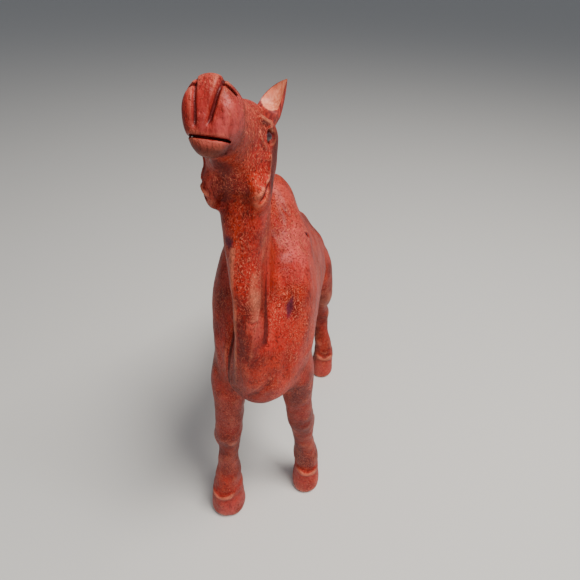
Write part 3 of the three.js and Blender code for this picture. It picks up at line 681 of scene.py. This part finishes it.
def region_cutters():
    """The blocks that hold each leg, the neck and the head, and meet face to face along the CAD joints."""
    regions = {}
    middle_y = (TRUNK_LOW[1] + TRUNK_HIGH[1]) / 2
    for side, sign in (("left", 1), ("right", -1)):
        low_x, high_x = sorted((sign * FORELEG_INNER, sign * FAR))
        regions[f"foreleg_{side}"] = block_cutter(
            f"cut_foreleg_{side}", (low_x, TRUNK_LOW[1] - FAR, -MARGIN), (high_x, middle_y, FORE_JOINT)
        )
        regions[f"hindleg_{side}"] = block_cutter(
            f"cut_hindleg_{side}",
            (min(0, sign * FAR), middle_y, -MARGIN),
            (max(0, sign * FAR), TRUNK_HIGH[1] + FAR, HIND_JOINT),
        )
    front = HEAD_LOW[1] - FAR
    regions["head"] = block_cutter(
        "cut_head", (-FAR, front, HEAD_JOINT), (FAR, NAPE, HEAD_JOINT + 2 * FAR)
    )

    def seat_y(z):
        return TOES_Y + (z - SEAT_HEIGHT) / math.tan(SEAT_SLOPE)

    def seat_z(y):
        return SEAT_HEIGHT + (y - TOES_Y) * math.tan(SEAT_SLOPE)

    outline = [
        (front, NECK_FOOT, NECK_HALF),
        (seat_y(NECK_FOOT), NECK_FOOT, NECK_HALF),
        (seat_y(SEAT_HEIGHT), SEAT_HEIGHT, NECK_HALF),
        (NAPE, seat_z(NAPE), NAPE_HALF),
        (NAPE, HEAD_JOINT, CROWN_HALF),
        (front, HEAD_JOINT, CROWN_HALF),
        (front, seat_z(NAPE), NAPE_HALF),
        (front, SEAT_HEIGHT, NECK_HALF),
    ]
    regions["neck"] = prism("cut_neck", outline)
    return regions


VOXELS = {"trunk": 0.72, "neck": 0.45, "head": 0.32}
LEG_VOXEL = 0.5


def wooden_piece(node, regions, material):
    low, high = box_mm(node)
    voxel = VOXELS.get(node, LEG_VOXEL)
    block = carve(cut_block(low - 2 * MARGIN, high + 2 * MARGIN, voxel))
    obj = mesh_object(f"{node}_carved", *block.polygons())
    if node == "trunk":
        trim(obj, regions.values(), "DIFFERENCE")
    else:
        trim(obj, [regions[node]], "INTERSECT")
    finish_wood(obj, block, node, material)


# ---- Materials ----


def new_material(name):
    material = bpy.data.materials.new(name)
    material.use_nodes = True
    tree = material.node_tree
    shader = next(node for node in tree.nodes if node.type == "BSDF_PRINCIPLED")
    return material, Nodes(tree), shader


class Nodes:
    """Short ways to add nodes to a material. A value is a socket, a number or a tuple of numbers."""

    def __init__(self, tree):
        self.tree = tree

    def add(self, kind, inputs=(), **settings):
        node = self.tree.nodes.new(kind)
        for name, value in settings.items():
            setattr(node, name, value)
        for key, value in dict(inputs).items():
            self.plug(node.inputs[key], value)
        return node

    def plug(self, socket, value):
        if isinstance(value, bpy.types.NodeSocket):
            self.tree.links.new(value, socket)
        else:
            socket.default_value = value

    def place(self):
        """The place on the part, in millimetres."""
        return self.scaled(self.add("ShaderNodeTexCoord").outputs["Object"], (MM, MM, MM))

    def mark(self, name):
        """The number that a mesh keeps for each of its points."""
        return self.add("ShaderNodeAttribute", attribute_name=name).outputs["Fac"]

    def math(self, operation, a, b=0.0):
        node = self.add("ShaderNodeMath", operation=operation)
        self.plug(node.inputs[0], a)
        self.plug(node.inputs[1], b)
        return node.outputs[0]

    def mix(self, share, a, b):
        node = self.add("ShaderNodeMix", data_type="RGBA")
        self.plug(node.inputs["Factor"], share)
        self.plug(node.inputs["A"], a)
        self.plug(node.inputs["B"], b)
        return node.outputs["Result"]

    def span(self, value, low, high):
        """0 below low, 1 above high and smooth between them."""
        node = self.add("ShaderNodeMapRange", interpolation_type="SMOOTHSTEP")
        self.plug(node.inputs["Value"], value)
        node.inputs["From Min"].default_value = low
        node.inputs["From Max"].default_value = high
        return node.outputs["Result"]

    def scaled(self, vector, scale):
        return self.add("ShaderNodeVectorMath", {0: vector, 1: scale}, operation="MULTIPLY").outputs[0]

    def noise(self, vector, scale, detail=2.0, roughness=0.5):
        node = self.add("ShaderNodeTexNoise", {"Vector": vector, "Scale": scale, "Detail": detail})
        node.inputs["Roughness"].default_value = roughness
        return node.outputs["Fac"]

    def near(self, vector, centre, radii):
        """1 at a point, falling to 0 at the radii."""
        offset = self.add("ShaderNodeVectorMath", {0: vector, 1: tuple(centre)}, operation="SUBTRACT")
        shrunk = self.scaled(offset.outputs[0], tuple(1 / r for r in radii))
        length = self.add("ShaderNodeVectorMath", {0: shrunk}, operation="LENGTH").outputs["Value"]
        return self.span(length, 1.0, 0.35)

    def bump(self, shader, height, strength, distance):
        node = self.add("ShaderNodeBump", {"Height": height, "Strength": strength, "Distance": distance})
        self.plug(shader.inputs["Normal"], node.outputs["Normal"])


DEEP_RED = (0.12, 0.004, 0.003, 1)
RED = (0.37, 0.012, 0.007, 1)
ORANGE_RED = (0.50, 0.030, 0.006, 1)
PINK_RED = (0.46, 0.052, 0.038, 1)
# Painted shade in the hollows and creases.
GROOVE_SHADE = (0.045, 0.003, 0.004, 1)
# Ridges lightened: partly wear, partly painted highlight.
WORN_AND_HIGHLIGHT = (0.78, 0.24, 0.13, 1)
FLECK = (0.83, 0.20, 0.11, 1)
PORE = (0.12, 0.006, 0.005, 1)
PURPLE = (0.085, 0.010, 0.028, 1)

VIOLET = (0.46, 0.055, 0.052, 1)
MUZZLE = (0.36, 0.048, 0.044, 1)
# Pink-violet spots on the muzzle and the left flank and shoulder: partly the stain's own blush, partly
# painted sheen.
SHEEN_AND_BLUSH_SPOTS = [
    (head_point(1.5, 3.0, 2.0), (13, 11, 11)),
    ((14.0, TOES_Y + 14.0, 182.0), (8, 16, 20)),
    ((10.0, TOES_Y + 2.0, 160.0), (6, 12, 12)),
]

# Painted shade under the jaw, on the throat, on the side planes of the head, under the ear bases and in the
# eye sockets.
PAINTED_SHADES = [
    (head_point(0.0, 3.0, -9.4), (11, 10, 5.4)),
    (head_point(-3.0, 16.0, -14.0), (9, 9, 8)),
] + [
    (head_point(side * aside, back, up), radii)
    for side in (1, -1)
    for aside, back, up, radii in (
        (13.0, 35.0, -3.0, (5.2, 7.0, 13)),
        (12.8, 35.0, -13.0, (5.2, 7.0, 13)),
        (9.8, 31.5, 5.0, (4.2, 6.0, 2.8)),
        (11.2, 31.5, -0.6, (3.2, 4.5, 3.0)),
    )
]
# The colour of the painted shade.
PAINTED_SHADE = (0.060, 0.005, 0.006, 1)

STAINS = [
    ((13.6, TOES_Y - 3.4, 167.0), (2.2, 6, 5.5)),
    ((-5.6, TOES_Y - 14.0, 201.0), (2.6, 4, 3.5)),
    ((16.0, TOES_Y + 22.9, 184.8), (2.0, 2.0, 1.2)),
]


DRIFT = np.array([5.0, 5.0, 3.0])  # the most that a slow noise bends the grain


def at_drifted(centre):
    """Where a place lies, on average, in the bent grain."""
    return np.array(centre) + DRIFT / 2


def ground_color(n, spot, bent, patch, streak, smooth):
    """The uneven red of the stain: purplish on the muzzle, the throat and the hooves, where pink-violet spots
    are partly painted sheen and the hoof tops partly painted light, and darker on the legs with painted shade
    under the body.
    """
    broad = n.noise(spot, 0.045, 3)
    blush = n.noise(n.scaled(spot, (1, 1, 0.5)), 0.07, 2)
    color = n.mix(n.span(broad, 0.36, 0.64), DEEP_RED, RED)
    color = n.mix(n.math("MULTIPLY", n.span(patch, 0.45, 0.68), 0.5), color, ORANGE_RED)
    color = n.mix(n.math("MULTIPLY", n.span(blush, 0.48, 0.70), 0.75), color, PINK_RED)
    # Pink-violet spots, partly painted sheen.
    for centre, radii in SHEEN_AND_BLUSH_SPOTS:
        share = n.math("MULTIPLY", n.near(bent, at_drifted(centre), radii), n.span(patch, 0.35, 0.6))
        color = n.mix(n.math("MULTIPLY", share, 0.8), color, VIOLET)
    on_muzzle = n.math("MULTIPLY", smooth, n.math("ADD", 0.25, n.span(patch, 0.35, 0.65)))
    color = n.mix(on_muzzle, color, MUZZLE)
    # Painted shade under the body darkens the legs.
    color = n.mix(n.math("MULTIPLY", leg_shade_share(n, spot), 0.6), color, DEEP_RED)
    # Hooves lighter and pinker: partly painted light on their tops.
    hoof_light_share = n.math("MULTIPLY", n.span(level(n, spot), 26.0, 10.0), n.span(patch, 0.35, 0.6))
    color = n.mix(n.math("MULTIPLY", hoof_light_share, 0.6), color, VIOLET)
    return n.mix(n.math("MULTIPLY", n.span(streak, 0.50, 0.70), 0.45), color, DEEP_RED)


def level(n, spot):
    return n.add("ShaderNodeSeparateXYZ", {0: spot}).outputs["Z"]


def leg_shade_share(n, spot):
    """The share of the painted shade under the body: 1 along the legs, falling to 0 at the belly and at the
    hooves.
    """
    height = level(n, spot)
    return n.math("MULTIPLY", n.span(height, 118.0, 96.0), n.span(height, 22.0, 60.0))


def light_flecks(n, spot, bent, grit, smooth):
    """Short wavy lines along the grain: fewer on the muzzle and the legs."""
    worm = n.noise(n.scaled(bent, (1, 1, 0.36)), 1.55, 2)
    ridged = n.math("ABSOLUTE", n.math("SUBTRACT", worm, 0.5))
    lines = n.math("SUBTRACT", 1.0, n.span(ridged, 0.012, 0.065))
    broken = n.math("MULTIPLY", lines, n.span(grit, 0.38, 0.58))
    where = n.span(n.noise(spot, 0.06, 2), 0.34, 0.60)
    flecks = n.math("MULTIPLY", broken, n.math("ADD", n.math("MULTIPLY", where, 0.52), 0.22))
    flecks = n.math("MULTIPLY", flecks, n.math("SUBTRACT", 1.0, n.math("MULTIPLY", smooth, 0.75)))
    on_leg = n.math("MULTIPLY", leg_shade_share(n, spot), 0.45)
    return n.math("MULTIPLY", flecks, n.math("SUBTRACT", 1.0, on_leg))


def dark_pores(n, bent, smooth):
    pores = n.noise(n.scaled(bent, (1, 1, 0.3)), 2.1, 1)
    strength = n.math("SUBTRACT", 0.65, n.math("MULTIPLY", smooth, 0.52))
    return n.math("MULTIPLY", n.span(pores, 0.58, 0.70), strength)


def painted_shade_and_stains(n, color, spot, bent):
    """Painted shade under the jaw, on the throat, on the side planes of the head, under the ear bases and in
    the eye sockets, and the single purple stains.
    """
    # Painted shade at the listed places.
    for centre, radii in PAINTED_SHADES:
        color = n.mix(n.math("MULTIPLY", n.near(spot, centre, radii), 0.9), color, PAINTED_SHADE)
    for centre, radii in STAINS:
        share = n.math("MULTIPLY", n.near(bent, at_drifted(centre), radii), 0.85)
        color = n.mix(share, color, PURPLE)
    return color


def ridges_and_hollows(n, color, patch, grit, smooth):
    """Ridges lighter, partly with wear and partly with painted highlight, and hollows and creases darkened
    with painted shade.
    """
    relief = n.mark("relief")
    uneven = n.math("MULTIPLY", n.math("SUBTRACT", patch, 0.5), 0.16)
    # Ridges lightened, partly wear and partly painted highlight.
    worn = n.span(n.math("ADD", relief, uneven), 0.10, 0.34)
    worn = n.math("MULTIPLY", worn, n.math("SUBTRACT", 0.40, n.math("MULTIPLY", smooth, 0.32)))
    color = n.mix(worn, color, WORN_AND_HIGHLIGHT)
    # Hollows and creases darkened with painted shade.
    uneven = n.math("MULTIPLY", n.math("SUBTRACT", grit, 0.5), 0.08)
    hollow_shade = n.span(n.math("ADD", relief, uneven), -0.05, -0.30)
    return n.mix(n.math("MULTIPLY", hollow_shade, 0.8), color, GROOVE_SHADE)


def stained_wood(name):
    """Red stain over close-grained wood: wavy light flecks and dark pores, ridges lighter with wear and
    painted highlight, hollows in painted shade, and painted shade and sheen in given places.
    """
    material, n, shader = new_material(name)
    spot = n.place()
    drift = n.add("ShaderNodeTexNoise", {"Vector": spot, "Scale": 0.16, "Detail": 1.0}).outputs["Color"]
    bending = n.add(
        "ShaderNodeVectorMath", {0: drift, 1: tuple(DRIFT), 2: spot}, operation="MULTIPLY_ADD"
    )
    bent = bending.outputs[0]
    patch = n.noise(n.scaled(bent, (1, 1, 0.45)), 0.11, 3)
    streak = n.noise(n.scaled(bent, (1, 1, 0.12)), 0.9, 3)
    grit = n.noise(n.scaled(spot, (1, 1, 0.5)), 2.6, 2)
    smooth = n.near(spot, head_point(1.0, 3.0, -1.0), (12, 11, 14))

    flecks = light_flecks(n, spot, bent, grit, smooth)
    dark = dark_pores(n, bent, smooth)
    color = ground_color(n, spot, bent, patch, streak, smooth)
    color = n.mix(dark, n.mix(flecks, color, FLECK), PORE)
    color = painted_shade_and_stains(n, color, spot, bent)
    color = ridges_and_hollows(n, color, patch, grit, smooth)
    n.plug(shader.inputs["Base Color"], color)

    rough = n.math("ADD", 0.36, n.math("MULTIPLY", n.math("ADD", patch, dark), 0.16))
    n.plug(shader.inputs["Roughness"], n.math("ADD", rough, n.math("MULTIPLY", flecks, 0.12)))
    height = n.math("SUBTRACT", n.math("MULTIPLY", flecks, 0.5), n.math("MULTIPLY", dark, 1.0))
    height = n.math("ADD", height, n.math("MULTIPLY", streak, 0.5))
    lumps = n.noise(n.scaled(spot, (1, 1, 0.7)), 0.35, 2)
    height = n.math("ADD", height, n.math("MULTIPLY", lumps, 1.6))
    n.bump(shader, height, 1.0, 0.00045)
    shader.inputs["Specular IOR Level"].default_value = 0.13
    shader.inputs["Coat Weight"].default_value = 0.05
    shader.inputs["Coat Roughness"].default_value = 0.3
    return material


def ear_wood(name):
    """Pale, thinly stained wood in the hollow of the ear, and red round its rim and back."""
    material, n, shader = new_material(name)
    spot = n.place()
    grain = n.noise(n.scaled(spot, (1, 1, 0.25)), 1.3, 3)
    cloud = n.noise(spot, 0.22, 2)
    pale = n.mix(n.span(grain, 0.35, 0.65), (0.50, 0.11, 0.05, 1), (0.68, 0.22, 0.12, 1))
    pale = n.mix(n.math("MULTIPLY", n.span(cloud, 0.45, 0.7), 0.6), pale, (0.72, 0.17, 0.08, 1))
    red = n.mix(n.span(grain, 0.4, 0.65), (0.17, 0.012, 0.010, 1), (0.42, 0.035, 0.018, 1))
    edge = n.math("ADD", n.mark("hollow"), n.math("MULTIPLY", n.math("SUBTRACT", cloud, 0.5), 0.35))
    n.plug(shader.inputs["Base Color"], n.mix(n.span(edge, 0.25, 0.6), red, pale))
    n.plug(shader.inputs["Roughness"], n.math("ADD", 0.45, n.math("MULTIPLY", grain, 0.2)))
    n.bump(shader, grain, 0.4, 0.0002)
    return material


def eye_wood(name):
    """Dark stained wood, polished."""
    material, n, shader = new_material(name)
    cloud = n.noise(n.place(), 1.1, 3)
    color = n.mix(n.span(cloud, 0.4, 0.65), (0.022, 0.004, 0.007, 1), (0.075, 0.014, 0.026, 1))
    n.plug(shader.inputs["Base Color"], color)
    n.plug(shader.inputs["Roughness"], n.math("ADD", 0.22, n.math("MULTIPLY", cloud, 0.25)))
    n.bump(shader, cloud, 0.2, 0.0001)
    shader.inputs["Coat Weight"].default_value = 0.25
    shader.inputs["Coat Roughness"].default_value = 0.2
    return material


def bare_wood(name):
    """Unstained dowel wood, with its grain upright."""
    material, n, shader = new_material(name)
    grain = n.noise(n.scaled(n.place(), (1, 1, 0.15)), 1.6, 4)
    color = n.mix(n.span(grain, 0.35, 0.7), (0.62, 0.40, 0.21, 1), (0.42, 0.23, 0.10, 1))
    n.plug(shader.inputs["Base Color"], color)
    n.plug(shader.inputs["Roughness"], n.math("ADD", 0.55, n.math("MULTIPLY", grain, 0.2)))
    n.bump(shader, grain, 0.4, 0.0002)
    return material


# ---- Ears, eyes and tail ----

EAR_EDGES = {
    "left": (
        ((4.7, 37.4, 9.3), (7.4, 37.6, 15.2), (13.2, 37.6, 16.6)),
        ((11.7, 36.4, 5.6), (12.8, 36.6, 11.0), (13.2, 37.6, 16.6)),
    ),
    "right": (
        ((4.7, 37.9, 9.0), (7.0, 39.2, 14.2), (12.0, 40.5, 15.2)),
        ((11.6, 36.9, 5.2), (12.1, 38.2, 10.2), (12.0, 40.5, 15.2)),
    ),
}  # the ear on the right is laid further back
EAR_FRONT = 12  # points across the hollow of the ear
EAR_SIDE = 6
EAR_BACK = 14
EAR_ROWS = 30
EAR_ROOT = 0.4  # how far the ear goes into the head, as a share of its length
EAR_TIP = 0.99  # where the ear ends, as a share of the curves of its edges
EAR_RIM = 0.11  # how far inside the outer edge the hollow's rim is, as a share of the width
EAR_THICKNESS = 0.14  # of the outer side, as a share of the width


def curve(points, share):
    """A point of the quadratic curve with three given points: its two ends and, between them, its handle."""
    start, handle, end = (np.array(p, float) for p in points)
    return (1 - share) ** 2 * start + 2 * share * (1 - share) * handle + share**2 * end


def ear_row(inner, outer, share):
    """The section of the ear between its two edges: hollow in front, a narrow outer side and a round back."""
    width = outer - inner
    size = np.linalg.norm(width)
    rim = outer - EAR_RIM * width + (0, -0.10 * size, 0)
    back = np.array([0, 0.42 * size + 0.5, 0])
    depth = (0.26 * smooth_step(share, -0.05, 0.25) - 0.05) * size
    section = [
        inner + (rim - inner) * s + (0, depth * 4 * s * (1 - s), 0) for s in np.arange(EAR_FRONT) / EAR_FRONT
    ]
    for s in np.arange(EAR_SIDE) / EAR_SIDE:
        section.append(rim + (outer - rim) * s + (0, EAR_THICKNESS * size * s, 0))
    outer = outer + (0, EAR_THICKNESS * size, 0)
    for s in np.arange(EAR_BACK) / EAR_BACK:
        across = (inner - outer) * (1 - math.cos(math.pi * s)) / 2
        section.append(outer + across + back * math.sin(math.pi * s))
    return section


def make_ear(name, side, edges, material):
    """A leaf-shaped ear with a hollow front. The edges are curves in the head's measures, up to the tip."""
    points = []
    hollow = []
    for row in range(EAR_ROWS + 1):
        share = -EAR_ROOT + (EAR_TIP + EAR_ROOT) * row / EAR_ROWS
        inner, outer = (curve(edge, max(share, 0)) for edge in edges)
        root = min(share, 0) * np.array([5.0, -1.0, 9.0])
        lean = 0.9 * math.sin(math.pi * max(share, 0))
        for index, (aside, back, up) in enumerate(ear_row(inner, outer, share)):
            points.append(head_point(side * (aside + root[0]), back + root[1] + lean, up + root[2]))
            front = index / EAR_FRONT
            bowl = share - 0.16 * (2 * front - 0.95) ** 2
            hollow.append(smooth_step(bowl, -0.06, 0.04) if 0 < index < EAR_FRONT else 0.0)
    count = EAR_FRONT + EAR_SIDE + EAR_BACK
    quads = []
    for row in range(EAR_ROWS):
        for column in range(count):
            a = row * count + column
            b = row * count + (column + 1) % count
            quads.append((a, b, b + count, a + count))
    triangles = []
    for row in (0, EAR_ROWS):
        ring = points[row * count : (row + 1) * count]
        hub = len(points)
        points.append(sum(ring) / count)
        hollow.append(0.0)
        for column in range(count):
            a = row * count + column
            b = row * count + (column + 1) % count
            triangles.append((a, b, hub))
    obj = mesh_object(name, np.array(points), np.array(triangles), np.array(quads))
    outward(obj)
    store(obj.data, "hollow", hollow)
    dress(obj, name.replace("_carved", ""), material)


def outward(obj):
    """Turns all the faces of a closed piece to face out."""
    mesh = bmesh.new()
    mesh.from_mesh(obj.data)
    bmesh.ops.recalc_face_normals(mesh, faces=mesh.faces)
    mesh.to_mesh(obj.data)
    mesh.free()


EYE_RADII = np.array([1.75, 2.25, 1.75])
EYE_SUNK = 0.55  # how far the bead is set into its socket


def make_eye(name, side, material):
    """An almond-shaped bead that is set in its socket, with a raised round in the middle."""
    low, high = box_mm(name)
    centre = (low + high) / 2
    mesh = bmesh.new()
    bmesh.ops.create_uvsphere(mesh, u_segments=40, v_segments=28, radius=1)
    outwards = side * HEAD_AXES[0] - 0.35 * BACKWARDS
    for vertex in mesh.verts:
        aside, back, up = vertex.co
        up *= 1 - 0.45 * abs(back) ** 1.6
        facing = max(side * aside, 0)
        bulge = 1 + 0.12 * smooth_step(facing, 0.86, 0.93)
        spot = centre + EYE_RADII * (aside, back, up) * (bulge, 1, 1) @ HEAD_AXES
        vertex.co = Vector((spot - EYE_SUNK * outwards) / MM)
    obj = linked(f"{name}_bead", mesh)
    outward(obj)
    dress(obj, name, material)


TAIL_VOXEL = 0.35
TAIL_DEPTH = 0.08  # of the knife's dips on the tail
TUFT_TOP = 0.42  # where the tuft starts, as a share of the tail's height
TUFT_GROOVES = 10
TUFT_STEPS = 5
TUFT_CORE = 4.4  # how far ahead of the tail's back the middle of the tuft is
TUFT_RADIUS = 2.6
BINDINGS = (0.46, 0.5)  # the cuts round the tail above its tuft, as shares of its height


def make_tail(material):
    """The tail, its tuft cut into strands that wander a little on their way down."""
    low, high = box_mm("tail")
    block = Field(low - 2 * MARGIN, high + 2 * MARGIN, TAIL_VOXEL).measure(*node_mesh("tail"))
    block.values = blurred(block.values, 2)
    tuft = low[2] + TUFT_TOP * (high[2] - low[2])
    for index in range(TUFT_GROOVES):
        angle = 2 * math.pi * (index + 0.3) / TUFT_GROOVES
        out = np.array([math.sin(angle), -math.cos(angle), 0])
        path = []
        for step in range(TUFT_STEPS + 1):
            z = tuft - step * (tuft - low[2] - 1) / TUFT_STEPS
            core = np.array([0, high[1] - TUFT_CORE, z])
            path.append(core + out * TUFT_RADIUS + (0.5 * math.sin(step + index), 0, 0))
        stroke(block, path, -out, 0.6, 0.8, ends=(0.25, 0.05), reach=2.5)
    for share in BINDINGS:
        z = low[2] + share * (high[2] - low[2])
        cut, (_, _, height) = block.window(low - 2, high + 2)
        block.values[cut] += 0.5 * np.clip(1 - np.abs(height - z) / 0.7, 0, 1)
    block.values += (TAIL_DEPTH * KNIFE.on(block.lines())).astype(np.float32)
    obj = mesh_object("tail_carved", *block.polygons())
    finish_wood(obj, block, "tail", material)


# ---- The animal ----

WOOD = stained_wood("stained_wood")
EAR_WOOD = ear_wood("ear_wood")
EYE_WOOD = eye_wood("eye_wood")
DOWEL_WOOD = bare_wood("dowel_wood")

regions = region_cutters()
for node in WOOD_NODES:
    wooden_piece(node, regions, WOOD)
for obj in regions.values():
    bpy.data.objects.remove(obj)
for name, side in (("left", 1), ("right", -1)):
    make_ear(f"ear_{name}_carved", side, EAR_EDGES[name], EAR_WOOD)
    make_eye(f"eye_{name}", side, EYE_WOOD)
make_tail(WOOD)
for name in DOWEL_NODES:
    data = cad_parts[name].data
    data.materials.clear()
    data.materials.append(DOWEL_WOOD)

# ---- Stage ----

CAMERA_BEFORE_TOES = 134.6
CAMERA_ASIDE = 31.56
CAMERA_HEIGHT = 275.0
CAMERA_LOOK = math.radians(8)  # turned from +Y towards -X
CAMERA_PITCH = math.radians(37)
CAMERA_ROLL = math.radians(1.3)
CAMERA_LENS = 27.06  # in millimetres, for the sensor below
CAMERA_SENSOR = 36.0
CAMERA_NEAREST = 0.01  # in metres
FLOOR_HALF = 6  # in metres


def make_camera():
    data = bpy.data.cameras.new("camera")
    data.lens = CAMERA_LENS
    data.sensor_width = CAMERA_SENSOR
    data.clip_start = CAMERA_NEAREST
    camera = bpy.data.objects.new("camera", data)
    bpy.context.scene.collection.objects.link(camera)
    camera.location = Vector((CAMERA_ASIDE, TOES_Y - CAMERA_BEFORE_TOES, CAMERA_HEIGHT)) / MM
    turn = Matrix.Rotation(CAMERA_LOOK, 4, "Z") @ Matrix.Rotation(math.pi / 2 - CAMERA_PITCH, 4, "X")
    camera.rotation_euler = (turn @ Matrix.Rotation(CAMERA_ROLL, 4, "Z")).to_euler()
    bpy.context.scene.camera = camera


def area_light(name, place, target, size, power, color):
    data = bpy.data.lights.new(name, "AREA")
    data.size = size
    data.energy = power
    data.color = color
    light = bpy.data.objects.new(name, data)
    bpy.context.scene.collection.objects.link(light)
    light.location = place
    light.rotation_euler = (Vector(target) - Vector(place)).to_track_quat("-Z", "Y").to_euler()


def make_stage():
    """A pale floor, a dim bluish surround and two warm lights: one overhead, one ahead."""
    mesh = bmesh.new()
    bmesh.ops.create_grid(mesh, x_segments=1, y_segments=1, size=FLOOR_HALF)
    floor = linked("floor", mesh)
    material, _, shader = new_material("pale_floor")
    shader.inputs["Base Color"].default_value = (0.62, 0.6, 0.57, 1)
    shader.inputs["Roughness"].default_value = 0.8
    floor.data.materials.append(material)
    world = bpy.data.worlds.new("studio")
    bpy.context.scene.world = world
    world.use_nodes = True
    background = next(node for node in world.node_tree.nodes if node.type == "BACKGROUND")
    background.inputs["Color"].default_value = (0.84, 0.9, 1, 1)
    background.inputs["Strength"].default_value = 0.24
    area_light("key", (0.36, -0.2, 0.98), (0, -0.03, 0.15), 0.4, 16, (1, 0.97, 0.92))
    area_light("front", (0.15, -0.9, 0.5), (0, -0.03, 0.18), 0.5, 2.2, (1, 0.98, 0.96))


make_camera()
make_stage()
